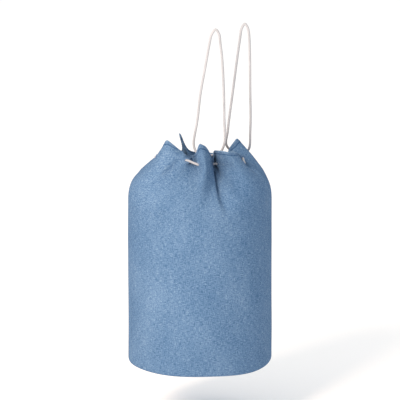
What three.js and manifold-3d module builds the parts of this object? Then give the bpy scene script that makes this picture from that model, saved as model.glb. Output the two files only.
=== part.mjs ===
// A sailor-style laundry bag: a round cloth tube with a sewn-in round base, gathered at the mouth by one
// cord that is threaded through worked eyelets and drawn up in two hanging loops.
// Millimetres, +Z up. The bag is laid out with its base on z = 0, and the finished group is lowered so that
// the origin is the point of the hanging rail midway between the tops of the two loops.
import * as THREE from "three";
import { mergeVertices } from "three/addons/utils/BufferGeometryUtils.js";
import Module from "manifold-3d";

const wasm = await Module();
wasm.setup();

// Driving dimensions
const RADIUS = 150; // bag radius, outside
const CLOTH_HEIGHT = 500; // cut height of the side cloth, base seam to mouth edge
const CLOTH = 1.2; // thickness that stands for the cloth and its nap
const HEM_HEIGHT = 8;
const HEM_THICKNESS = 2.2;
const CORD_HEIGHT = 460; // height of the eyelets along the cloth
const CORD_RADIUS = 2.5;
const CORD_DIP = 7; // the drawn cord passes this much lower inside a pleat, under the cloth's turned-in edge
const EYELET_INNER = 4.2;
const EYELET_OUTER = 7;
const EYELET_THICKNESS = 2.4;
const GAP = 0.3; // clearance between touching pieces
const SEAM_WIDTH = 10; // turned-in seam allowances
const SEAM_THICKNESS = 1.4;
const KNOT_RADIUS = 7;
const KNOT_PLACE = 8.5; // counted in eyelets round the mouth
const KNOT_SHARE = 0.3; // half of the gap left for it, counted the same way
const STUB = 0.12; // how far the drawn cord comes through the last eyelet before a loop begins
const PAST_EYELET = 0.26; // where the loop begins
const RAIL_HEIGHT = 711; // underside of the loops' tops, where the rail carries them
const RAIL_CENTRE = [63.5, 17.25]; // x and y of the rail between the tops of the two loops

const FIRST_CLOTH_ANGLE = -115; // degrees round the flat cloth of the first eyelet; the rest are evenly spaced
const COLUMNS_PER_GAP = 8;

// The round shoulder that the pleats are drawn in from: an arc, then a straight slope.
const SHOULDER_START = 350;
const SHOULDER_ARC = 90;
const SHOULDER_TURN = THREE.MathUtils.degToRad(40);
const SHOULDER_SHIFT = 4; // the mouth sits a little to the right
const TURN_START = 280; // height from which the cloth is pulled round by the cord

// The gathered mouth, from each eyelet to the next by way of the middle of the pleat between them:
// the cloth's place at the cord, its place at the mouth edge, how far down the pleat reaches, and how
// many degrees the cloth is pulled round from where it hangs below.
const MOUTH = [
  [[-2, -74, 439], [-8, -60, 462], 395, 22],
  [[13, -104, 445], [4, -72, 484], 360, 14],
  [[27, -37, 432], [27, -47, 447], 350, 6],
  [[31, -12, 426], [30, -37, 460], 350, 0],
  [[36, -31, 430], [38, -51, 464], 350, 0],
  [[82, -64, 430], [58, -56, 463], 360, 2],
  [[92, -28, 430], [76, -12, 450], 370, 4],
  [[58, -12, 428], [60, -4, 452], 385, 2],
  [[90, -2, 434], [66, 6, 463], 370, 0],
  [[106, 28, 438], [79, 16, 473], 360, -3],
  [[84, 58, 420], [80, 60, 440], 360, -2],
  [[48, 38, 408], [54, 54, 428], 340, -4],
  [[56, 76, 408], [60, 96, 418], 360, -6],
  [[24, 102, 412], [24, 122, 414], 360, -3],
  [[-10, 80, 410], [-24, 80, 430], 360, 2],
  [[-24, 30, 422], [-43, 24, 483], 360, 5],
  [[-38, 72, 416], [-36, 78, 430], 360, 0],
  [[-80, 66, 426], [-76, 74, 436], 360, 2],
  [[-86, 20, 434], [-68, 24, 452], 370, 6],
  [[-50, 8, 430], [-48, 8, 450], 380, 6],
  [[-92, -22, 442], [-71, -12, 467], 370, 10],
  [[-66, -64, 448], [-66, -34, 482], 370, 22],
  [[-26, -64, 446], [-31, -32, 450], 410, 28],
  [[-14, -38, 438], [-16, -14, 442], 420, 26],
];
const EYELETS = MOUTH.length / 2;

const { lerp, smoothstep, degToRad } = THREE.MathUtils;

// Materials
const denim = new THREE.MeshStandardMaterial({ color: 0x7b97b8, roughness: 0.95 });
const denimHem = new THREE.MeshStandardMaterial({ color: 0x6c8bb0, roughness: 0.95 });
const thread = new THREE.MeshStandardMaterial({ color: 0x5f7ea6, roughness: 0.8 });
const cotton = new THREE.MeshStandardMaterial({ color: 0xe9e8e6, roughness: 0.9 });

const bag = new THREE.Group();

function addMesh(name, geometry, material) {
  const mesh = new THREE.Mesh(geometry, material);
  mesh.name = name;
  bag.add(mesh);
  return mesh;
}

// Shape of the cloth

// Point of the round shoulder at an angle in degrees, s up the cloth.
function shoulderPoint(angle, s) {
  const arcLength = SHOULDER_ARC * SHOULDER_TURN;
  const turned = Math.min(Math.max(s - SHOULDER_START, 0), arcLength) / SHOULDER_ARC;
  const straight = Math.max(s - SHOULDER_START - arcLength, 0);
  const r = RADIUS - SHOULDER_ARC * (1 - Math.cos(turned)) - straight * Math.sin(SHOULDER_TURN);
  const z = Math.min(s, SHOULDER_START) + SHOULDER_ARC * Math.sin(turned) + straight * Math.cos(SHOULDER_TURN);
  const shift = SHOULDER_SHIFT * smoothstep(s, SHOULDER_START, CORD_HEIGHT);
  return new THREE.Vector3(r * Math.cos(degToRad(angle)) + shift, r * Math.sin(degToRad(angle)), z);
}

// Value of f(row) at u, counted in eyelets, on a smooth closed line through its values down MOUTH.
function roundMouth(f, u) {
  const k = Math.floor(2 * u);
  const t = 2 * u - k;
  const at = (i) => f(MOUTH[(((k + i) % MOUTH.length) + MOUTH.length) % MOUTH.length]);
  const [a, b, c, d] = [at(-1), at(0), at(1), at(2)];
  return b + (t / 2) * (c - a + t * (2 * a - 5 * b + 4 * c - d + t * (3 * (b - c) + d - a)));
}

function mouthPlace(column, u) {
  return new THREE.Vector3(...[0, 1, 2].map((axis) => roundMouth((row) => row[column][axis], u)));
}

// Point of the cloth at u, counted in eyelets round the mouth, and s, the height along the cloth.
function clothPoint(u, s) {
  const end = mouthPlace(0, u);
  if (s > CORD_HEIGHT) {
    return end.lerp(mouthPlace(1, u), (s - CORD_HEIGHT) / (CLOTH_HEIGHT - CORD_HEIGHT));
  }
  const flatAngle = FIRST_CLOTH_ANGLE + (360 / EYELETS) * u;
  const turn = roundMouth((row) => row[3], u);
  const start = roundMouth((row) => row[2], u);
  const drawn = 2 * smoothstep(s, start, 2 * CORD_HEIGHT - start);
  return shoulderPoint(flatAngle + turn * smoothstep(s, TURN_START, CORD_HEIGHT), s)
    .addScaledVector(end, drawn)
    .addScaledVector(shoulderPoint(flatAngle + turn, CORD_HEIGHT), -drawn);
}

function clothNormal(u, s) {
  const step = 0.02;
  const low = s - 0.5;
  const around = clothPoint(u + step, s).sub(clothPoint(u - step, s));
  const up = clothPoint(u, s + 0.5).sub(clothPoint(u, low));
  return around.cross(up).normalize();
}

// A closed skin between two heights of the cloth: outer rows upwards, then inner rows back down.
function clothShell(heights, thickness) {
  const columns = EYELETS * COLUMNS_PER_GAP;
  const rows = [
    ...heights.map((s) => [s, 0]),
    ...[...heights].reverse().map((s) => [s, thickness]),
  ];
  const position = [];
  for (const [s, inset] of rows) {
    for (let c = 0; c < columns; c++) {
      const u = c / COLUMNS_PER_GAP;
      const p = clothPoint(u, s).addScaledVector(clothNormal(u, s), -inset);
      position.push(p.x, p.y, p.z);
    }
  }
  const index = [];
  for (let r = 0; r < rows.length; r++) {
    const next = (r + 1) % rows.length;
    for (let c = 0; c < columns; c++) {
      const d = (c + 1) % columns;
      const [a, b, e, f] = [r * columns + c, r * columns + d, next * columns + d, next * columns + c];
      index.push(a, b, e, a, e, f);
    }
  }
  const geometry = new THREE.BufferGeometry();
  geometry.setAttribute("position", new THREE.Float32BufferAttribute(position, 3));
  geometry.setIndex(index);
  return geometry;
}

// Solids for cutting

function solidOf(geometry) {
  const bare = new THREE.BufferGeometry();
  bare.setAttribute("position", geometry.getAttribute("position"));
  bare.setIndex(geometry.getIndex());
  const merged = mergeVertices(bare, 1e-3);
  return new wasm.Manifold(
    new wasm.Mesh({
      numProp: 3,
      vertProperties: merged.attributes.position.array,
      triVerts: new Uint32Array(merged.index.array),
    }),
  );
}

function geometryOf(solid) {
  const made = solid.getMesh();
  const geometry = new THREE.BufferGeometry();
  geometry.setAttribute("position", new THREE.BufferAttribute(made.vertProperties, 3));
  geometry.setIndex(new THREE.BufferAttribute(made.triVerts, 1));
  geometry.computeVertexNormals();
  return geometry;
}

// The line of the drawn cord round the mouth, through every eyelet

const eyeletPlaces = Array.from({ length: EYELETS }, (_, k) => mouthPlace(0, k));
const mouthLine = new THREE.CatmullRomCurve3(
  eyeletPlaces.flatMap((place, k) => {
    const middle = place.clone().lerp(eyeletPlaces[(k + 1) % EYELETS], 0.5);
    if (k % 2 === 0) middle.z -= CORD_DIP;
    return [place, middle];
  }),
  true,
  "centripetal",
);

// Point of the line at u, counted in eyelets.
function mouthPoint(u) {
  const turns = u / EYELETS;
  return mouthLine.getPoint(turns - Math.floor(turns));
}

function mouthTangent(k) {
  return mouthLine.getTangent(k / EYELETS).normalize();
}

function turnTo(direction) {
  return new THREE.Quaternion().setFromUnitVectors(new THREE.Vector3(0, 0, 1), direction);
}

// Side cloth, with a hole at each eyelet

function makeSideCloth() {
  const heights = [0, 130, 280, 320, 350, 375, 398, 418, 434, 448, 460, 476, CLOTH_HEIGHT - HEM_HEIGHT - 5 * GAP];
  let cloth = solidOf(clothShell(heights, CLOTH));
  eyeletPlaces.forEach((place, k) => {
    const punch = new THREE.CylinderGeometry(EYELET_OUTER + 2 * GAP, EYELET_OUTER + 2 * GAP, 18, 12);
    punch.rotateX(Math.PI / 2);
    punch.applyQuaternion(turnTo(mouthTangent(k)));
    punch.translate(place.x, place.y, place.z);
    cloth = cloth.subtract(solidOf(punch));
  });
  addMesh("side_cloth", geometryOf(cloth), denim);
}

function makeMouthHem() {
  addMesh("mouth_hem", clothShell([CLOTH_HEIGHT - HEM_HEIGHT, CLOTH_HEIGHT], HEM_THICKNESS), denimHem);
}

// Base: a round of cloth flush with the bottom edge, and the two seam allowances turned in on it

function ring(inner, outer, bottom, top, segments) {
  const profile = [
    new THREE.Vector2(inner, bottom),
    new THREE.Vector2(outer, bottom),
    new THREE.Vector2(outer, top),
    new THREE.Vector2(inner, top),
    new THREE.Vector2(inner, bottom),
  ];
  return new THREE.LatheGeometry(profile, segments).rotateX(Math.PI / 2);
}

function makeBase() {
  const inside = RADIUS - CLOTH - 2 * GAP;
  const disc = new THREE.CylinderGeometry(inside, inside, CLOTH, 72);
  disc.rotateX(Math.PI / 2);
  disc.translate(0, 0, CLOTH / 2);
  addMesh("base_disc", disc, denim);
  const bottom = CLOTH + GAP;
  addMesh("base_seam_allowance", ring(inside - SEAM_WIDTH, inside, bottom, bottom + SEAM_THICKNESS, 72), thread);
}

// The felled edges of the side seam, inside at the back, up to where the pleats begin

function makeSideSeam() {
  const low = CLOTH + 3 * GAP + SEAM_THICKNESS;
  const high = TURN_START;
  const strip = new THREE.BoxGeometry(SEAM_WIDTH, SEAM_THICKNESS, high - low);
  strip.translate(0, RADIUS - CLOTH - SEAM_THICKNESS / 2 - 2 * GAP, (high + low) / 2);
  addMesh("side_seam_allowance", strip, thread);
}

// Eyelets

function makeEyelets() {
  eyeletPlaces.forEach((place, k) => {
    const half = EYELET_THICKNESS / 2;
    const mesh = addMesh(
      `eyelet_${String(k + 1).padStart(2, "0")}`,
      ring(EYELET_INNER, EYELET_OUTER, -half, half, 12),
      thread,
    );
    mesh.position.copy(place);
    mesh.quaternion.copy(turnTo(mouthTangent(k)));
  });
}

// Cord

function tube(points, stepLength = 8, sides = 8) {
  const curve = new THREE.CatmullRomCurve3(points, false, "centripetal");
  const section = new THREE.Shape();
  for (let i = 0; i <= sides; i++) {
    const a = (2 * Math.PI * i) / sides;
    const method = i === 0 ? "moveTo" : "lineTo";
    section[method](CORD_RADIUS * Math.cos(a), CORD_RADIUS * Math.sin(a));
  }
  return new THREE.ExtrudeGeometry(section, {
    steps: Math.round(curve.getLength() / stepLength),
    extrudePath: curve,
    bevelEnabled: false,
  });
}

const vectors = (list) => list.map(([x, y, z]) => new THREE.Vector3(x, y, z));

// Points of the mouth line between two places, both counted in eyelets.
function mouthStretch(from, to) {
  const n = Math.round((to - from) * 6);
  return Array.from({ length: n + 1 }, (_, i) => mouthPoint(lerp(from, to, i / n)));
}

function addLoop(side, { firstEyelet, runIn, legs, runOut }) {
  const start = mouthPoint(firstEyelet + PAST_EYELET);
  const end = mouthPoint(firstEyelet + 1 - PAST_EYELET);
  addMesh(`cord_loop_${side}`, tube(vectors(legs)), cotton);
  addMesh(`cord_run_${side}_in`, tube([start, ...vectors(runIn)]), cotton);
  addMesh(`cord_run_${side}_out`, tube([...vectors(runOut), end]), cotton);
}

// Each loop is a pair of legs that meet over the rail, and a run at each end from the leg to its eyelet.
// The left loop is the stretch inside the front pleat, drawn up through the mouth.
const LEFT_LOOP = {
  firstEyelet: 0,
  runIn: [
    [9, -58, 438],
    [7, -42, 443],
    [-3, -30, 450],
    [-12, -24, 459],
    [-13, -21, 472.8],
  ],
  legs: [
    [-13, -21, 474],
    [-5, -18, 523],
    [1, -15, 576],
    [12, -11, 638],
    [20, -9, 684],
    [24.5, -8, 703],
    [33, -6.5, 713.5],
    [40, -6, 703],
    [42.5, -7, 684],
    [46, -8, 655],
    [49.5, -10, 592],
    [51, -12, 521],
    [52, -14, 474],
  ],
  runOut: [
    [52, -14, 472.8],
    [46, -13, 459],
    [32, -11, 452],
    [17, -22, 448],
    [17, -36, 440],
  ],
};

// The right loop is the stretch outside one inward pleat, drawn up outside the mouth edge.
const RIGHT_LOOP = {
  firstEyelet: 5,
  runIn: [
    [83, 71, 418],
    [94, 74, 426],
    [103, 68, 438],
    [105, 60, 451],
    [105, 54, 468.8],
  ],
  legs: [
    [105, 54, 470],
    [106, 50, 505],
    [105, 46, 568],
    [104.5, 44, 632],
    [103, 42, 684],
    [100.5, 41, 703],
    [94, 41, 713.5],
    [87, 41, 703],
    [84, 42, 684],
    [77, 44, 632],
    [69, 47, 568],
    [61, 52, 505],
    [57, 55, 470],
  ],
  runOut: [
    [57, 55, 468.8],
    [60, 58, 454],
    [72, 72, 440],
    [78, 80, 426],
    [72, 82, 414],
  ],
};

function makeCord() {
  addLoop("left", LEFT_LOOP);
  addLoop("right", RIGHT_LOOP);
  addMesh("drawcord_front", tube(mouthStretch(1 - STUB, 5 + STUB), 5), cotton);
  addMesh("drawcord_back", tube(mouthStretch(6 - STUB, KNOT_PLACE - KNOT_SHARE), 5), cotton);
  addMesh("drawcord_side", tube(mouthStretch(KNOT_PLACE + KNOT_SHARE, EYELETS + STUB), 5), cotton);
}

// The cord's ends are tied in one knot inside the mouth, with two short tails.
function makeKnot() {
  const centre = mouthPoint(KNOT_PLACE);
  const knot = new THREE.SphereGeometry(KNOT_RADIUS, 12, 8);
  knot.translate(centre.x, centre.y, centre.z);
  addMesh("cord_knot", knot, cotton);
  const below = KNOT_RADIUS + GAP;
  [-1, 1].forEach((side, i) => {
    const tail = vectors([
      [centre.x + side * 3.2, centre.y - 1, centre.z - below],
      [centre.x + side * 5, centre.y - 2, centre.z - below - 14],
      [centre.x + side * 7, centre.y - 2, centre.z - below - 34],
    ]);
    addMesh(`cord_tail_${i + 1}`, tube(tail), cotton);
  });
}

makeSideCloth();
makeMouthHem();
makeBase();
makeSideSeam();
makeEyelets();
makeCord();
makeKnot();

const part = new THREE.Group();
bag.position.set(-RAIL_CENTRE[0], -RAIL_CENTRE[1], -RAIL_HEIGHT);
part.add(bag);

export default part;
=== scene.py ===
"""Looks of a drawstring laundry bag of heathered denim, hung by the two loops of its cord.

Sizes are in millimetres from the middle of the bag's base, as in the part's own drawing, and at()
turns them into the frame's metres.
"""
import math

import bpy
import numpy as np
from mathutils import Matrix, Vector


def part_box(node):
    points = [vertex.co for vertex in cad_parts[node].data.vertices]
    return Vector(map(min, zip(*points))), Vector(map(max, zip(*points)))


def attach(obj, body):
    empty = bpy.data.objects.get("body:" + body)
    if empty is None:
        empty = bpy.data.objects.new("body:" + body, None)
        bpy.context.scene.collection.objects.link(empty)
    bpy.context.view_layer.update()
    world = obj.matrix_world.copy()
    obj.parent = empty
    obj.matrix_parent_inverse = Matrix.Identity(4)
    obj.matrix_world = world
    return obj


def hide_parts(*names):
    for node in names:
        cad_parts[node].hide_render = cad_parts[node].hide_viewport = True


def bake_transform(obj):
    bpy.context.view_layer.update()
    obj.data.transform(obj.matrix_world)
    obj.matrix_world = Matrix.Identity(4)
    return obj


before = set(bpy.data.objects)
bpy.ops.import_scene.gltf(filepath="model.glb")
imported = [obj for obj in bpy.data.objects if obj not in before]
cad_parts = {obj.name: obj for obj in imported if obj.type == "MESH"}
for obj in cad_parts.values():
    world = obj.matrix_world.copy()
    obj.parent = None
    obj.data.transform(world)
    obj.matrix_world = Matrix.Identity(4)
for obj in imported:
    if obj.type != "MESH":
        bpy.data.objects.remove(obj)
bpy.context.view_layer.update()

# Driving dimensions, as in the CAD part
RADIUS = 150.0
CLOTH_HEIGHT = 500.0
CORD_HEIGHT = 460.0
CORD_RADIUS = 2.5
CORD_DIP = 7.0
EYELET_RADIUS = 5.6
EYELETS = 12
SEAM_WIDTH = 10.0
KNOT_PLACE = 8.5  # where the knot hangs, counted in eyelets
KNOT_SHARE = 0.3  # how much of the way between two eyelets it takes up
STUB = 0.12  # how far past its eyelet the drawn cord runs before a loop takes over, in eyelets
LOOP_FOOT = (STUB, 0.19, 0.26)  # how far past the eyelet a loop's first points lie, in eyelets
BACK_SEAM = 6.857  # where the side seam runs up the back, counted in eyelets
FIRST_CLOTH_ANGLE = -115
SHOULDER_START = 350.0
SHOULDER_ARC = 90.0
SHOULDER_TURN = math.radians(40)
SHOULDER_SHIFT = 4.0
TURN_START = 280.0

# Sharp creases, each with its foot and head as (eyelets round, height up the cloth), its width to the
# left and right in eyelets, its depth, how many degrees round it is turned, and the heights between
# which it fades in and out
CREASES = [
    ((1.66, 340), (1.0, 460), 0.15, 0.55, 30.0, 0, (340, 400), (430, 462)),
    ((10.6, 415), (10.74, 480), 0.06, 0.36, 22.0, 22, (405, 432), (478, 500)),
]

# The gathered mouth, from each eyelet to the next by way of the middle of the pleat between them:
# the cloth's place at the cord, its place at the mouth edge, how far down the pleat reaches, and how
# many degrees the cloth is pulled round from where it hangs below.
MOUTH = [
    ((-2, -74, 439), (-8, -60, 462), 395, 22),
    ((13, -104, 445), (4, -72, 484), 360, 14),
    ((27, -37, 432), (27, -47, 447), 350, 6),
    ((31, -12, 426), (30, -37, 460), 350, 0),
    ((36, -31, 430), (38, -51, 464), 350, 0),
    ((82, -64, 430), (58, -56, 463), 360, 2),
    ((92, -28, 430), (76, -12, 450), 370, 4),
    ((58, -12, 428), (60, -4, 452), 385, 2),
    ((90, -2, 434), (66, 6, 463), 370, 0),
    ((106, 28, 438), (79, 16, 473), 360, -3),
    ((84, 58, 420), (80, 60, 440), 360, -2),
    ((48, 38, 408), (54, 54, 428), 340, -4),
    ((56, 76, 408), (60, 96, 418), 360, -6),
    ((24, 102, 412), (24, 122, 414), 360, -3),
    ((-10, 80, 410), (-24, 80, 430), 360, 2),
    ((-24, 30, 422), (-43, 24, 483), 360, 5),
    ((-38, 72, 416), (-36, 78, 430), 360, 0),
    ((-80, 66, 426), (-76, 74, 436), 360, 2),
    ((-86, 20, 434), (-68, 24, 452), 370, 6),
    ((-50, 8, 430), (-48, 8, 450), 380, 6),
    ((-92, -22, 442), (-71, -12, 467), 370, 10),
    ((-66, -64, 448), (-66, -34, 482), 370, 22),
    ((-26, -64, 446), (-31, -32, 450), 410, 28),
    ((-14, -38, 438), (-16, -14, 442), 420, 26),
]

# Looks
FRONT_PLEAT_CROWN = 6.0  # how much rounder than its drawing the front pleat stands
CLOTH_THICKNESS = 0.9
HEM_HEIGHT = 8.0
HEM_THICKNESS = 1.9
STITCH_LINE = 493.6  # height along the cloth of the row that sews the hem
STITCH_LENGTH = 3.2
STITCH_PITCH = 4.2
STITCH_RADIUS = 0.42
STITCH_SIDES = 6
# One stitch, from end to end: place along it, width, and how far out it stands, all as shares
STITCH_PROFILE = (
    (-1.0, 0.25, -0.6),
    (-0.6, 0.9, 0.1),
    (0.0, 1.0, 0.35),
    (0.6, 0.9, 0.1),
    (1.0, 0.25, -0.6),
)
EYELET_THREAD = 1.25  # half the thickness of an eyelet's worked ring
EYELET_RIPPLE = 0.28  # how much its stitches vary that
EYELET_STITCHES = 24
KNOT_SCALE = 1.55
KNOT_STEPS = 90
SIDE_SEAM_FOOT = 14.0
BASE_ROUND = 8.0  # height over which the cloth turns in to the base seam
BASE_TURN_IN = 4.5
BASE_SAG = 3.0
EDGE_DROP = 1.2  # how far the bottom edge hangs below the base of the CAD part
COLUMNS_PER_GAP = 14
HELD_BELOW = 250.0  # height up to which the cloth is held still as the mouth settles
SIMULATION_STEPS = 30
SIMULATION_SCALE = 10  # cloth settles well at the size of metres, so it is simulated this much larger
STANDING_TIPS = (0.5, 2.0, 4.5, 7.5, 10.5)  # where the mouth edge stands up, counted in eyelets
SETTLED_BELOW = 0.65  # share of the settled shape that is kept up to the height below
SETTLING_FADES_ABOVE = 430.0
SETTLED_AT_EDGE = 0.12  # share of it that is kept at the mouth edge
EASED_BELOW = 474.0  # height below which a loop turns in a wide curve, as soft cord does
EASED_OVER = 10.0  # height over which the easing sets in
EASING_ROUNDS = 60
BRAID_SIDES = 16
BRAID_STEP = 1.5  # millimetres between the rings of a cord
BRAID_PITCH = 14.0
BRAID_STRANDS = 6
BRAID_SWELL = 1.03  # radius at the top of a strand, against the cord's own
BRAID_DEPTH = 0.13
CAMERA_ELEVATION = 15.0
CAMERA_DISTANCE = 40.0  # metres, so far that the view has next to no perspective
CAMERA_AIM = (0.2, 0, 343.8)
FLOOR_DROP = 120.0  # the bag hangs this far above the floor
VIEW_WIDTH = 0.836  # metres across the picture at the bag
KEY_PLACE = (-1250, -2000, 1750)
KEY_SIZE = 1.1
KEY_POWER = 107
KEY_COLOUR = (1.0, 0.785, 0.62)
DENIM_DARK = (0.028, 0.08, 0.18)
DENIM_MIDDLE = (0.085, 0.168, 0.302)
DENIM_LIGHT = (0.19, 0.295, 0.44)
THREAD_DARK = (0.06, 0.12, 0.23)
THREAD_LIGHT = (0.17, 0.26, 0.4)
EYELET_LIGHT = (0.15, 0.24, 0.38)
CORD_DARK = (0.27, 0.29, 0.325)
CORD_LIGHT = (0.385, 0.405, 0.445)
YARN = 0.0009  # metres from one yarn of the weave to the next
PAINTED_HIGHLIGHT_ABOVE = 0.4975  # metres up the cloth above which the mouth edge is painted paler: a painted highlight along the top of the hem
HEM_SHADE = (0.4895, 0.4922)  # metres up the cloth between which the hem's edge casts its shade

base_low, base_high = (Vector(v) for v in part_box("base_disc"))
BASE = Vector(((base_low.x + base_high.x) / 2, (base_low.y + base_high.y) / 2, base_low.z))


def at(x, y, z):
    return BASE + Vector((x, y, z)) / 1000


# Camera


def add_camera():
    data = bpy.data.cameras.new("camera")
    data.sensor_width = 36.0
    data.lens = data.sensor_width * CAMERA_DISTANCE / VIEW_WIDTH
    data.clip_end = 150
    camera = bpy.data.objects.new("camera", data)
    bpy.context.scene.collection.objects.link(camera)
    tilt = math.radians(CAMERA_ELEVATION)
    camera.rotation_euler = (math.pi / 2 - tilt, 0, 0)
    back = Vector((0, -math.cos(tilt), math.sin(tilt)))
    camera.location = at(*CAMERA_AIM) + back * CAMERA_DISTANCE
    bpy.context.scene.camera = camera


# Shape of the cloth as it is gathered, before it relaxes


def lerp(a, b, t):
    return a + (b - a) * t


def smoothstep(x, low, high):
    t = min(max((x - low) / (high - low), 0), 1)
    return t * t * (3 - 2 * t)


def shoulder_profile(s):
    """Radius and height, at s up the cloth, of the round shoulder that the pleats are drawn in from."""
    arc_length = SHOULDER_ARC * SHOULDER_TURN
    turned = min(max(s - SHOULDER_START, 0), arc_length) / SHOULDER_ARC
    straight = max(s - SHOULDER_START - arc_length, 0)
    r = RADIUS - SHOULDER_ARC * (1 - math.cos(turned)) - straight * math.sin(SHOULDER_TURN)
    z = min(s, SHOULDER_START) + SHOULDER_ARC * math.sin(turned) + straight * math.cos(SHOULDER_TURN)
    return r, z


def shoulder_point(angle, s):
    r, z = shoulder_profile(s)
    shift = SHOULDER_SHIFT * smoothstep(s, SHOULDER_START, CORD_HEIGHT)
    turned = math.radians(angle)
    return np.array((r * math.cos(turned) + shift, r * math.sin(turned), z))


def round_mouth(column, u):
    """One column of MOUTH at u, counted in eyelets, on a smooth closed line through its values."""
    count = len(MOUTH)
    place = 2 * u
    k = math.floor(place + 1e-9)
    t = place - k
    a, b, c, d = (np.array(MOUTH[(k + i) % count][column], float) for i in (-1, 0, 1, 2))
    return b + t / 2 * (c - a + t * (2 * a - 5 * b + 4 * c - d + t * (3 * (b - c) + d - a)))


def flat_angle(u):
    return FIRST_CLOTH_ANGLE + 360 / EYELETS * u


def creased(u, s):
    """How far the sharp creases draw the cloth in, each steep on one side."""
    moved = np.zeros(3)
    for foot, head, left, right, depth, turn, fade_in, fade_out in CREASES:
        side = u - lerp(foot[0], head[0], (s - foot[1]) / (head[1] - foot[1]))
        across = max(1 - abs(side) / (left if side < 0 else right), 0) ** 1.6
        along = smoothstep(s, *fade_in) * (1 - smoothstep(s, *fade_out))
        angle = math.radians(flat_angle(u) + turn)
        moved -= np.array((math.cos(angle), math.sin(angle), 0)) * (depth * across * along)
    return moved


def uneven(u, s):
    """How far the hanging cloth stands out of true, and how far its bottom edge rises."""
    angle = math.radians(flat_angle(u))
    middle = smoothstep(s, 10, 90) * (1 - smoothstep(s, 260, 340))
    out = 0.9 * math.sin(3 * angle + s / 70) + 0.7 * math.sin(7 * angle - s / 55 + 1)
    rise = 1.0 * math.sin(3 * angle + 0.6) + 0.9 * math.sin(5 * angle + 2.2) - EDGE_DROP
    return out * middle, rise * (1 - smoothstep(s, 0, 70))


def turned_in(s):
    """How far the cloth has turned in towards the base seam."""
    down = min(max(1 - s / BASE_ROUND, 0), 1)
    return BASE_TURN_IN * (1 - math.sqrt(1 - down * down))


def gathered_point(u, s):
    """Point of the cloth at u, counted in eyelets round the mouth, and s, the height along the cloth."""
    end = round_mouth(0, u)
    if s > CORD_HEIGHT:
        share = (s - CORD_HEIGHT) / (CLOTH_HEIGHT - CORD_HEIGHT)
        crown = FRONT_PLEAT_CROWN * math.sin(2 * math.pi * u) ** 2 if u < 1 else 0
        upright = np.array((0, 0, crown * share))
        return tuple(lerp(end, round_mouth(1, u), share) + upright + creased(u, s))
    turn = round_mouth(3, u)
    before = shoulder_point(flat_angle(u) + turn * smoothstep(s, TURN_START, CORD_HEIGHT), s)
    at_cord = shoulder_point(flat_angle(u) + turn, CORD_HEIGHT)
    start = round_mouth(2, u)
    drawn = 2 * smoothstep(s, start, 2 * CORD_HEIGHT - start)
    out, rise = uneven(u, s)
    angle = math.radians(flat_angle(u))
    inward = -np.array((math.cos(angle), math.sin(angle), 0))
    moved = inward * (turned_in(s) - out) + np.array((0, 0, rise)) + creased(u, s)
    return tuple(before + (end - at_cord) * drawn + moved)


def flat_point(u, s):
    """Point of the same cloth before the cord is drawn: a plain tube."""
    angle = math.radians(flat_angle(u))
    return RADIUS * math.cos(angle), RADIUS * math.sin(angle), s


# Side cloth


def cloth_grid():
    us = [c / COLUMNS_PER_GAP for c in range(EYELETS * COLUMNS_PER_GAP)]
    foot = [0, 0.3, 0.9, 1.9, 3.4, 5.4, BASE_ROUND, 14, 24]
    body = [36 + 12 * i for i in range(24)]
    pleats = [320 + 6.25 * i for i in range(23)]
    hem = [464, 470, 477, 484, 489.5, CLOTH_HEIGHT - HEM_HEIGHT, 493, 496.5, CLOTH_HEIGHT]
    return us, foot + body + pleats + hem


def tube_faces(columns, rows):
    faces = []
    for r in range(rows):
        for c in range(columns):
            d = (c + 1) % columns
            low, high = r * columns, (r + 1) * columns
            faces.append((low + c, low + d, high + d, high + c))
    return faces


def add_tube_uv(mesh, columns, girth, heights):
    """Lays a tube's own flat size on its mesh, in metres, round it and along it."""
    layer = mesh.uv_layers.new(name="cloth")
    for polygon in mesh.polygons:
        if len(polygon.vertices) != 4:
            continue
        wraps = {v % columns for v in polygon.vertices} == {0, columns - 1}
        for corner, v in zip(polygon.loop_indices, polygon.vertices):
            c, r = v % columns, v // columns
            turn = 1.0 if wraps and c == 0 else c / columns
            layer.data[corner].uv = (turn * girth / 1000, heights[r] / 1000)


def add_piece(name, points, faces, material, body="bag"):
    """A smooth mesh piece in the frame's metres, riding on a body if one is given."""
    mesh = bpy.data.meshes.new(name)
    mesh.from_pydata([tuple(p) for p in points], [], faces)
    mesh.polygons.foreach_set("use_smooth", [True] * len(mesh.polygons))
    mesh.materials.append(material)
    piece = bpy.data.objects.new(name, mesh)
    bpy.context.scene.collection.objects.link(piece)
    if body:
        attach(piece, body)
    return piece


def thicken(piece, thickness):
    solid = piece.modifiers.new("thickness", "SOLIDIFY")
    solid.thickness = thickness / 1000
    solid.offset = -1
    rounded = piece.modifiers.new("smooth", "SUBSURF")
    rounded.levels = 1
    rounded.render_levels = 1
    return solid


def hold_cloth(piece, us, heights):
    columns = len(us)
    held = piece.vertex_groups.new(name="held")
    for r, s in enumerate(heights):
        if s < HELD_BELOW:
            held.add(list(range(r * columns, (r + 1) * columns)), 1.0, "REPLACE")
    cord_row = min(range(len(heights)), key=lambda r: abs(heights[r] - CORD_HEIGHT))
    for k in range(EYELETS):
        held.add([cord_row * columns + k * COLUMNS_PER_GAP], 1.0, "REPLACE")
    for u in STANDING_TIPS:
        held.add([(len(heights) - 1) * columns + round(u * COLUMNS_PER_GAP)], 1.0, "REPLACE")


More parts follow.
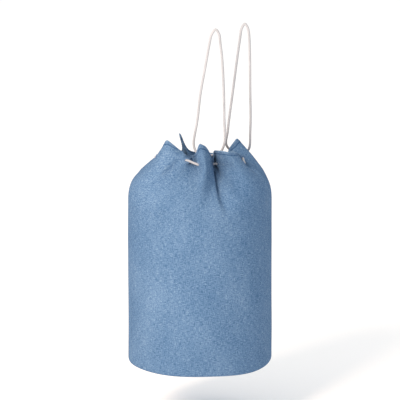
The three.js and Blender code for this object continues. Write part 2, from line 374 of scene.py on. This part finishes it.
def add_simulation(piece, rest_shape):
    cloth = piece.modifiers.new("cloth", "CLOTH")
    settings = cloth.settings
    settings.quality = 6
    settings.mass = 0.15
    settings.tension_stiffness = 40
    settings.compression_stiffness = 40
    settings.shear_stiffness = 15
    settings.bending_stiffness = 1.0
    settings.air_damping = 2
    settings.vertex_group_mass = "held"
    settings.rest_shape_key = rest_shape
    settings.use_pressure = True
    settings.uniform_pressure_force = 0.6
    settings.effector_weights.gravity = 0.0
    cloth.collision_settings.use_collision = False
    cloth.collision_settings.use_self_collision = False
    return cloth


def relax_cloth(piece, us, heights):
    """Lets the gathered cloth settle, held below the shoulder and at its eyelets."""
    hold_cloth(piece, us, heights)
    basis = piece.shape_key_add(name="flat")
    start = piece.shape_key_add(name="gathered")
    places = [(u, s) for s in heights for u in us]
    for v, (u, s) in enumerate(places):
        basis.data[v].co = at(*flat_point(u, s)) * SIMULATION_SCALE
        start.data[v].co = at(*gathered_point(u, s)) * SIMULATION_SCALE
    start.value = 1.0
    cloth = add_simulation(piece, basis)
    scene = bpy.context.scene
    for step in range(1, SIMULATION_STEPS + 1):
        scene.frame_set(step)
    settled = piece.evaluated_get(bpy.context.evaluated_depsgraph_get())
    shape = np.array([v.co for v in settled.data.vertices]) / SIMULATION_SCALE
    piece.modifiers.remove(cloth)
    piece.shape_key_clear()
    scene.frame_set(1)
    before = np.array([at(*gathered_point(u, s)) for u, s in places])
    fading = [smoothstep(s, SETTLING_FADES_ABOVE, CLOTH_HEIGHT) for u, s in places]
    share = [lerp(SETTLED_BELOW, SETTLED_AT_EDGE, fade) for fade in fading]
    kept = before + (shape - before) * np.array(share)[:, None]
    piece.data.vertices.foreach_set("co", kept.ravel())


def add_side_cloth():
    us, heights = cloth_grid()
    points = [at(*gathered_point(u, s)) for s in heights for u in us]
    faces = tube_faces(len(us), len(heights) - 1)
    piece = add_piece("side_cloth_look", points, faces, chambray("denim", True))
    add_tube_uv(piece.data, len(us), 2 * math.pi * RADIUS, heights)
    relax_cloth(piece, us, heights)
    hem = piece.vertex_groups.new(name="hem")
    for r, s in enumerate(heights):
        if s > CLOTH_HEIGHT - HEM_HEIGHT:
            hem.add(list(range(r * len(us), (r + 1) * len(us))), 1.0, "REPLACE")
    solid = thicken(piece, HEM_THICKNESS)
    solid.vertex_group = "hem"
    solid.thickness_vertex_group = CLOTH_THICKNESS / HEM_THICKNESS
    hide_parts("side_cloth", "mouth_hem")
    return piece


class ClothSurface:
    """The settled cloth's outer face, read at any place on it."""

    def __init__(self, piece):
        self.us, self.heights = cloth_grid()
        count = len(piece.data.vertices)
        shape = np.zeros(count * 3)
        piece.data.vertices.foreach_get("co", shape)
        self.grid = shape.reshape(len(self.heights), len(self.us), 3)

    def point(self, u, s):
        rows = self.heights
        r = min(max(int(np.searchsorted(rows, s)) - 1, 0), len(rows) - 2)
        up = (s - rows[r]) / (rows[r + 1] - rows[r])
        place = (u % EYELETS) * COLUMNS_PER_GAP
        c = int(place) % len(self.us)
        d = (c + 1) % len(self.us)
        across = place - int(place)
        low = lerp(self.grid[r, c], self.grid[r, d], across)
        high = lerp(self.grid[r + 1, c], self.grid[r + 1, d], across)
        return lerp(low, high, up)

    def frame(self, u, s):
        """Directions round the cloth, up it, and out of it."""
        around = self.point(u + 0.04, s) - self.point(u - 0.04, s)
        up = self.point(u, min(s + 2, CLOTH_HEIGHT)) - self.point(u, s - 2)
        around = around / np.linalg.norm(around)
        out = np.cross(around, up)
        out = out / np.linalg.norm(out)
        return around, np.cross(out, around), out


def bead(centre, along, up, out, half_length, radius, points, faces):
    """Adds one stitch: a short thread, thickest in the middle, that dips into the cloth at its ends."""
    sides = STITCH_SIDES
    first = len(points)
    for place, width, rise in STITCH_PROFILE:
        middle = centre + along * (place * half_length) + out * (rise * radius)
        for k in range(sides):
            a = 2 * math.pi * k / sides
            points.append(middle + (up * math.cos(a) + out * math.sin(a)) * (radius * width))
    for r in range(len(STITCH_PROFILE) - 1):
        for k in range(sides):
            d = (k + 1) % sides
            low, high = first + r * sides, first + (r + 1) * sides
            faces.append((low + k, high + k, high + d, low + d))
    faces.append(tuple(first + k for k in range(sides)))
    last = first + (len(STITCH_PROFILE) - 1) * sides
    faces.append(tuple(last + k for k in reversed(range(sides))))


def add_hem_stitches(surface):
    points, faces = [], []
    count = round(2 * math.pi * RADIUS / STITCH_PITCH)
    for k in range(count):
        u = EYELETS * k / count
        around, up, out = surface.frame(u, STITCH_LINE)
        for side, depth in ((1, 0.0), (-1, HEM_THICKNESS)):
            centre = surface.point(u, STITCH_LINE) - out * depth / 1000
            half, radius = STITCH_LENGTH / 2000, STITCH_RADIUS / 1000
            bead(centre, around, up * side, out * side, half, radius, points, faces)
    return add_piece("hem_stitches", points, faces, thread_material())


def add_eyelets(surface):
    """Worked eyelets: a ring of buttonhole stitches round each hole that the cord passes through."""
    around_count, section = 96, 8
    for k in range(EYELETS):
        along, up, out = surface.frame(k, CORD_HEIGHT)
        centre = surface.point(k, CORD_HEIGHT) - out * CLOTH_THICKNESS / 2000
        points = []
        for i in range(around_count):
            a = 2 * math.pi * i / around_count
            thick = EYELET_THREAD + EYELET_RIPPLE * math.cos(EYELET_STITCHES * a)
            ray = along * math.cos(a) + up * math.sin(a)
            for j in range(section):
                b = 2 * math.pi * j / section
                reach = EYELET_RADIUS + thick * 1.05 * math.cos(b)
                points.append(centre + (ray * reach + out * thick * math.sin(b)) / 1000)
        faces = []
        for i in range(around_count):
            for j in range(section):
                e, f = (i + 1) % around_count, (j + 1) % section
                faces.append((i * section + j, e * section + j, e * section + f, i * section + f))
        name = f"eyelet_{k + 1:02d}"
        piece = add_piece(name + "_look", points, faces, eyelet_material())
        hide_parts(name)


# Base and seams


def add_base():
    """The round of cloth sewn into the bottom, sagging a little, puckered where it meets its seam."""
    rings, spokes, edge = 16, 144, RADIUS - BASE_TURN_IN - 0.6
    points = [at(0, 0, -BASE_SAG)]
    for i in range(1, rings + 1):
        out = i / rings
        for k in range(spokes):
            a = 2 * math.pi * k / spokes
            u = (math.degrees(a) - FIRST_CLOTH_ANGLE) / 360 * EYELETS
            rise = uneven(u, 0)[1] * out**3
            pucker = 0.5 * math.sin(36 * a) * smoothstep(out, 0.8, 1)
            z = -BASE_SAG * (1 - out**2) + rise + pucker * (1 - smoothstep(out, 0.95, 1)) + 0.4
            points.append(at(edge * out * math.cos(a), edge * out * math.sin(a), z))
    faces = [(0, 1 + (k + 1) % spokes, 1 + k) for k in range(spokes)]
    for i in range(rings - 1):
        for k in range(spokes):
            d = (k + 1) % spokes
            low, high = 1 + i * spokes, 1 + (i + 1) * spokes
            faces.append((low + k, low + d, high + d, high + k))
    piece = add_piece("base_look", points, faces, chambray("denim_base", False))
    layer = piece.data.uv_layers.new(name="cloth")
    for loop in piece.data.loops:
        place = piece.data.vertices[loop.vertex_index].co - BASE
        layer.data[loop.index].uv = (place.x, place.y)
    thicken(piece, CLOTH_THICKNESS)
    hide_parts("base_disc")
    return piece


def add_ribbon(name, rails, closed):
    """A narrow strip of cloth: rails is a list of places along it, each a few points across."""
    across, count = len(rails[0]), len(rails)
    points = [p for rail in rails for p in rail]
    faces = []
    for i in range(count if closed else count - 1):
        for j in range(across - 1):
            e = (i + 1) % count
            faces.append((i * across + j, i * across + j + 1, e * across + j + 1, e * across + j))
    piece = add_piece(name, points, faces, thread_material())
    thicken(piece, 1.0)
    return piece


def add_base_seam():
    """The seam allowance of the base, turned in and overlocked, with its edge a little wavy."""
    outer, rails = RADIUS - BASE_TURN_IN + 2.0, []
    for k in range(216):
        a = 2 * math.pi * k / 216
        u = (math.degrees(a) - FIRST_CLOTH_ANGLE) / 360 * EYELETS
        rise = uneven(u, 3)[1]
        wave = 0.5 * math.sin(24 * a) + 0.3 * math.sin(54 * a)
        rail = []
        for j in range(4):
            r = outer - SEAM_WIDTH * j / 3
            rail.append(at(r * math.cos(a), r * math.sin(a), 2.8 + rise + wave * j / 3))
        rails.append(rail)
    piece = add_ribbon("base_seam_look", rails, True)
    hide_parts("base_seam_allowance")
    return piece


def add_side_seam(surface):
    """The felled edges of the side seam, inside at the back."""
    rails = []
    for i in range(70):
        s = SIDE_SEAM_FOOT + (TURN_START - SIDE_SEAM_FOOT) * i / 69
        around, _, out = surface.frame(BACK_SEAM, s)
        centre = surface.point(BACK_SEAM, s) - out * (CLOTH_THICKNESS + 0.5) / 1000
        wave = 0.25 * math.sin(s / 6) + 0.15 * math.sin(s / 2.3)
        rail = []
        for j in range(4):
            place = SEAM_WIDTH * (j / 3 - 0.5)
            lift = wave * abs(place) / SEAM_WIDTH + 0.1
            rail.append(centre + (around * place - out * lift) / 1000)
        rails.append(rail)
    piece = add_ribbon("side_seam_look", rails, False)
    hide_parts("side_seam_allowance")
    return piece


# Cord

# Each loop: its run up from the eyelet, its two legs over the rail, and its run down to the next eyelet
LEFT_LOOP = [
    (9, -58, 438), (7, -42, 443), (-3, -30, 450), (-12, -24, 459),
    (-13, -21, 474), (-5, -18, 523), (1, -15, 576), (12, -11, 638), (20, -9, 684),
    (24.5, -8, 703), (33, -6.5, 713.5), (40, -6, 703), (42.5, -7, 684), (46, -8, 655),
    (49.5, -10, 592), (51, -12, 521), (52, -14, 474),
    (48, -14, 459), (44, -12, 449), (34, -10, 444), (22, -16, 445), (17, -26, 444), (17, -36, 440),
]
RIGHT_LOOP = [
    (83, 71, 418), (96, 74, 425), (104, 67, 438), (105, 60, 451),
    (105, 54, 470), (106, 50, 505), (105, 46, 568), (104.5, 44, 632), (103, 42, 684),
    (100.5, 41, 703), (94, 41, 713.5), (87, 41, 703), (84, 42, 684), (77, 44, 632),
    (69, 47, 568), (61, 52, 505), (57, 55, 470),
    (54, 56, 458), (54, 60, 447), (60, 69, 437), (69, 78, 427), (70, 81, 416),
]


def span(a, b, c, d, t):
    """Point at t from b to c of a centripetal Catmull-Rom curve through four points."""
    t1 = np.linalg.norm(b - a) ** 0.5
    t2 = t1 + np.linalg.norm(c - b) ** 0.5
    t3 = t2 + np.linalg.norm(d - c) ** 0.5
    t = lerp(t1, t2, t)
    e = (t1 - t) / t1 * a + t / t1 * b
    f = (t2 - t) / (t2 - t1) * b + (t - t1) / (t2 - t1) * c
    g = (t3 - t) / (t3 - t2) * c + (t - t2) / (t3 - t2) * d
    h = (t2 - t) / t2 * e + t / t2 * f
    k = (t3 - t) / (t3 - t1) * f + (t - t1) / (t3 - t1) * g
    return (t2 - t) / (t2 - t1) * h + (t - t1) / (t2 - t1) * k


def smooth_line(points, per_span=12):
    p = [np.array(q, float) for q in points]
    p = [2 * p[0] - p[1]] + p + [2 * p[-1] - p[-2]]
    line = []
    for i in range(1, len(p) - 2):
        line += [span(*p[i - 1 : i + 3], step / per_span) for step in range(per_span)]
    return line + [p[-2]]


def mouth_knots():
    """The points that the drawn cord passes: each eyelet, and the middle of each stretch between."""
    eyelets = [np.array(MOUTH[2 * k][0], float) for k in range(EYELETS)]
    knots = []
    for k, place in enumerate(eyelets):
        middle = (place + eyelets[(k + 1) % EYELETS]) / 2
        if k % 2 == 0:
            middle[2] -= CORD_DIP
        knots += [place, middle]
    return knots


def mouth_point(u):
    knots = mouth_knots()
    place = 2 * (u % EYELETS)
    i = int(place)
    return span(*(knots[(i + j) % len(knots)] for j in (-1, 0, 1, 2)), place - i)


def mouth_stretch(start, end):
    steps = round((end - start) * 12)
    return [mouth_point(lerp(start, end, i / steps)) for i in range(steps + 1)]


def even_rings(line, step):
    """The same line with its points an even step apart."""
    line = np.array(line)
    run = np.concatenate(([0], np.cumsum(np.linalg.norm(np.diff(line, axis=0), axis=1))))
    places = np.linspace(0, run[-1], max(round(run[-1] / step), 4) + 1)
    return np.stack([np.interp(places, run, line[:, axis]) for axis in range(3)], axis=1), places


def eased(line):
    """The same line with its turns below the mouth edge rounded out; its ends and its legs stay."""
    rings = even_rings(line, BRAID_STEP)[0]
    free = np.clip((EASED_BELOW - rings[:, 2]) / EASED_OVER, 0, 1)
    free[:2] = 0
    free[-2:] = 0
    for _ in range(EASING_ROUNDS):
        middle = (rings[:-2] + rings[2:]) / 2
        rings[1:-1] += (middle - rings[1:-1]) * (0.5 * free[1:-1, None])
    return rings


def ring_directions(rings):
    """Two directions across the line at each ring, which turn with it and never twist."""
    tangents = np.gradient(rings, axis=0)
    tangents /= np.linalg.norm(tangents, axis=1)[:, None]
    side = np.cross(tangents[0], (0.3, 0.9, 0.2))
    pairs = []
    for tangent in tangents:
        side = side - tangent * side.dot(tangent)
        side = side / np.linalg.norm(side)
        pairs.append((side, np.cross(tangent, side)))
    return pairs


def braid_radius(angle, run):
    """Radius of a braided cord, whose strands wind both ways round it."""
    twist = 2 * math.pi * run / BRAID_PITCH
    half = BRAID_STRANDS / 2
    strand = max(abs(math.cos(half * (angle + twist))), abs(math.cos(half * (angle - twist))))
    return CORD_RADIUS * (BRAID_SWELL - BRAID_DEPTH * (1 - strand))


def add_cord(name, line, round_end=0.0, body="bag"):
    """A braided cord as a closed tube along a line; round_end is how far its last end draws in."""
    rings, runs = even_rings(line, BRAID_STEP)
    points = []
    for centre, run, (side, other) in zip(rings, runs, ring_directions(rings)):
        left = runs[-1] - run
        end = math.sqrt(max(1 - (1 - min(left / round_end, 1)) ** 2, 0.05)) if round_end else 1
        for k in range(BRAID_SIDES):
            a = 2 * math.pi * k / BRAID_SIDES
            r = braid_radius(a, run) * end
            points.append(at(*(centre + (side * math.cos(a) + other * math.sin(a)) * r)))
    faces = tube_faces(BRAID_SIDES, len(rings) - 1)
    faces.append(tuple(reversed(range(BRAID_SIDES))))
    last = (len(rings) - 1) * BRAID_SIDES
    faces.append(tuple(last + k for k in range(BRAID_SIDES)))
    piece = add_piece(name, points, faces, cord_material(), body)
    add_tube_uv(piece.data, BRAID_SIDES, 2 * math.pi * CORD_RADIUS, list(runs))
    return piece, [at(*p) for p in rings]


def add_loop(side, first_eyelet, route):
    ends = [1 - reach for reach in LOOP_FOOT]
    start = [mouth_point(first_eyelet + 1 - e) for e in ends]
    end = [mouth_point(first_eyelet + e) for e in reversed(ends)]
    line = eased(smooth_line(start + route + end))
    piece, path = add_cord(f"cord_{side}_look", line, body=None)
    nodes = [f"cord_loop_{side}", f"cord_run_{side}_in", f"cord_run_{side}_out"]
    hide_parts(*nodes)
    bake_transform(piece)


def add_drawn(part, start, end):
    piece, path = add_cord(f"drawcord_{part}_look", mouth_stretch(start, end))
    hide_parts(f"drawcord_{part}")


def add_knot():
    """An overhand knot that joins the cord's two ends, with its two tails hanging inside the mouth."""
    centre = mouth_point(KNOT_PLACE)
    line = []
    for i in range(KNOT_STEPS + 1):
        t = 2 * math.pi * i / KNOT_STEPS
        x, y = math.sin(t) + 2 * math.sin(2 * t), math.cos(t) - 2 * math.cos(2 * t)
        line.append(centre + KNOT_SCALE * np.array((x, -1.2 * math.sin(3 * t), y)))
    knot = add_cord("cord_knot_look", line)[0]
    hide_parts("cord_knot")
    pieces = [knot]
    for i, side in enumerate((-1, 1)):
        below = [(2.6, 0, -4), (3.2, -1, -8), (5, -2, -21), (7, -2, -41)]
        tail = [centre + np.array((side * x, y, z)) for x, y, z in below]
        piece = add_cord(f"cord_tail_{i + 1}_look", smooth_line(tail), round_end=4)[0]
        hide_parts(f"cord_tail_{i + 1}")
        pieces.append(piece)
    return pieces


# Materials


def new_material(name, roughness=0.9, sheen=0.0):
    material = bpy.data.materials.new(name)
    material.use_nodes = True
    tree = material.node_tree
    shader = tree.nodes["Principled BSDF"]
    shader.inputs["Roughness"].default_value = roughness
    shader.inputs["Specular IOR Level"].default_value = 0.12
    shader.inputs["Sheen Weight"].default_value = sheen
    shader.inputs["Sheen Roughness"].default_value = 0.5
    return material, tree, shader


def maths(tree, operation, a, b=0.0):
    made = tree.nodes.new("ShaderNodeMath")
    made.operation = operation
    for socket, value in zip(made.inputs, (a, b)):
        if isinstance(value, bpy.types.NodeSocket):
            tree.links.new(value, socket)
        else:
            socket.default_value = value
    return made.outputs[0]


def cloth_place(tree):
    """The cloth's own flat place, in metres: round it, and up it."""
    uv = tree.nodes.new("ShaderNodeUVMap")
    uv.uv_map = "cloth"
    parts = tree.nodes.new("ShaderNodeSeparateXYZ")
    tree.links.new(uv.outputs["UV"], parts.inputs[0])
    return uv.outputs["UV"], parts.outputs["X"], parts.outputs["Y"]


def noise(tree, place, per_metre, detail=2.0):
    """Noise of so many lumps to the metre, which may differ round the cloth and up it."""
    mapping = tree.nodes.new("ShaderNodeMapping")
    mapping.inputs["Scale"].default_value = per_metre
    tree.links.new(place, mapping.inputs["Vector"])
    made = tree.nodes.new("ShaderNodeTexNoise")
    made.inputs["Scale"].default_value = 1.0
    made.inputs["Detail"].default_value = detail
    tree.links.new(mapping.outputs["Vector"], made.inputs["Vector"])
    return made.outputs["Fac"]


def ramp(tree, value, stops):
    made = tree.nodes.new("ShaderNodeValToRGB")
    elements = made.color_ramp.elements
    while len(elements) < len(stops):
        elements.new(0.5)
    for element, (place, colour) in zip(elements, stops):
        element.position = place
        element.color = (*colour, 1)
    tree.links.new(value, made.inputs["Fac"])
    return made.outputs["Color"]


def bump(tree, shader, height, distance):
    made = tree.nodes.new("ShaderNodeBump")
    made.inputs["Distance"].default_value = distance
    made.inputs["Strength"].default_value = 1.0
    tree.links.new(height, made.inputs["Height"])
    tree.links.new(made.outputs["Normal"], shader.inputs["Normal"])


def band(tree, value, low, high):
    """1 where the value is between low and high, and 0 elsewhere."""
    above = maths(tree, "GREATER_THAN", value, low)
    return maths(tree, "SUBTRACT", above, maths(tree, "GREATER_THAN", value, high))


def weave(tree, x, y, yarn):
    """Height of a plain weave: yarns a set width apart pass over and under each other."""
    wide = math.pi / yarn
    across = maths(tree, "SINE", maths(tree, "MULTIPLY", x, wide))
    along = maths(tree, "SINE", maths(tree, "MULTIPLY", y, wide))
    return maths(tree, "MULTIPLY", across, along)


def chambray(name, hem_light_and_shade):
    """Heathered denim: blue and white yarns of uneven thickness, flecked, in a plain weave."""
    material, tree, shader = new_material(name, roughness=0.95)
    place, x, y = cloth_place(tree)
    weft = noise(tree, place, (110, 900, 1))
    warp = noise(tree, place, (900, 90, 1))
    fleck = noise(tree, place, (380, 430, 1), 3)
    cloudy = noise(tree, place, (14, 9, 1))
    yarns = maths(tree, "ADD", maths(tree, "MULTIPLY", weft, 0.34), maths(tree, "MULTIPLY", warp, 0.26))
    mixed = maths(tree, "ADD", yarns, maths(tree, "MULTIPLY", fleck, 0.28))
    mixed = maths(tree, "ADD", mixed, maths(tree, "MULTIPLY", cloudy, 0.12))
    mixed = maths(tree, "ADD", mixed, maths(tree, "MULTIPLY", weave(tree, x, y, YARN), 0.03))
    # The mouth edge gets painted light and shade: paler above the top of the hem as a painted highlight,
    # and darker in a band just below it as a painted shadow of the hem's edge
    if hem_light_and_shade:
        painted_highlight = maths(tree, "MULTIPLY", maths(tree, "GREATER_THAN", y, PAINTED_HIGHLIGHT_ABOVE), 0.07)
        shadow = maths(tree, "MULTIPLY", band(tree, y, *HEM_SHADE), -0.12)
        mixed = maths(tree, "ADD", mixed, maths(tree, "ADD", painted_highlight, shadow))
    stops = ((0.38, DENIM_DARK), (0.5, DENIM_MIDDLE), (0.62, DENIM_LIGHT))
    tree.links.new(ramp(tree, mixed, stops), shader.inputs["Base Color"])
    height = maths(tree, "ADD", weave(tree, x, y, YARN), maths(tree, "MULTIPLY", weft, 1.2))
    bump(tree, shader, height, 0.00025)
    return material


def object_place(tree):
    return tree.nodes.new("ShaderNodeTexCoord").outputs["Object"]


def spun(name, dark, light, per_metre, sheen):
    """Spun thread: fine fibres, a little uneven in colour."""
    material, tree, shader = new_material(name, roughness=0.85, sheen=sheen)
    place = object_place(tree)
    fine = noise(tree, place, (per_metre,) * 3, 4)
    coarse = noise(tree, place, (60, 60, 60))
    mixed = maths(tree, "ADD", maths(tree, "MULTIPLY", fine, 0.6), maths(tree, "MULTIPLY", coarse, 0.4))
    tree.links.new(ramp(tree, mixed, ((0.35, dark), (0.65, light))), shader.inputs["Base Color"])
    bump(tree, shader, fine, 0.0003)
    return material


MATERIALS = {}


def shared(name, make):
    if name not in MATERIALS:
        MATERIALS[name] = make()
    return MATERIALS[name]


def thread_material():
    return shared("thread", lambda: spun("thread", THREAD_DARK, THREAD_LIGHT, 1500, 0.1))


def eyelet_material():
    return shared("eyelet", lambda: spun("eyelet", THREAD_DARK, EYELET_LIGHT, 1800, 0.1))


def make_cord_material():
    """Soft cotton, its yarns drawn fine along the strands, in a light grey that the key light whitens."""
    material, tree, shader = new_material("cotton_cord", roughness=0.88, sheen=0.2)
    place = cloth_place(tree)[0]
    fibres = noise(tree, place, (2200, 700, 1), 3)
    soft = noise(tree, place, (40, 25, 1))
    mixed = maths(tree, "ADD", maths(tree, "MULTIPLY", fibres, 0.6), maths(tree, "MULTIPLY", soft, 0.4))
    stops = ((0.36, CORD_DARK), (0.6, CORD_LIGHT))
    tree.links.new(ramp(tree, mixed, stops), shader.inputs["Base Color"])
    bump(tree, shader, fibres, 0.0003)
    return material


def cord_material():
    return shared("cotton_cord", make_cord_material)


# Stage


def add_stage():
    bpy.ops.mesh.primitive_plane_add(size=30, location=at(0, 0, -FLOOR_DROP))
    floor = bpy.context.object
    floor.name = "floor"
    material, _, shader = new_material("floor", roughness=1.0)
    shader.inputs["Base Color"].default_value = (0.96, 0.96, 0.96, 1)
    floor.data.materials.append(material)


def add_light(name, place, size, power, colour):
    data = bpy.data.lights.new(name, "AREA")
    data.size = size
    data.energy = power
    data.color = colour
    light = bpy.data.objects.new(name, data)
    bpy.context.scene.collection.objects.link(light)
    light.location = at(*place)
    aim = at(0, 0, 300) - light.location
    light.rotation_euler = aim.to_track_quat("-Z", "Y").to_euler()


def add_lights():
    world = bpy.data.worlds.new("studio")
    world.use_nodes = True
    world.node_tree.nodes["Background"].inputs["Color"].default_value = (1, 1, 1, 1)
    world.node_tree.nodes["Background"].inputs["Strength"].default_value = 1.0
    bpy.context.scene.world = world
    add_light("key", KEY_PLACE, KEY_SIZE, KEY_POWER, KEY_COLOUR)
    bpy.context.scene.view_settings.view_transform = "Standard"


def add_cloth():
    side = add_side_cloth()
    surface = ClothSurface(side)
    on_side = [add_hem_stitches(surface), add_side_seam(surface)]
    add_eyelets(surface)
    base = add_base()
    on_base = [add_base_seam()]


def add_cords():
    add_loop("left", 0, LEFT_LOOP)
    add_loop("right", 5, RIGHT_LOOP)
    add_drawn("front", 1 - STUB, 5 + STUB)
    knot = add_knot()
    add_drawn("back", 6 - STUB, KNOT_PLACE - KNOT_SHARE / 2)
    add_drawn("side", KNOT_PLACE + KNOT_SHARE / 2, EYELETS + STUB)


add_camera()
add_cords()
add_cloth()
add_stage()
add_lights()
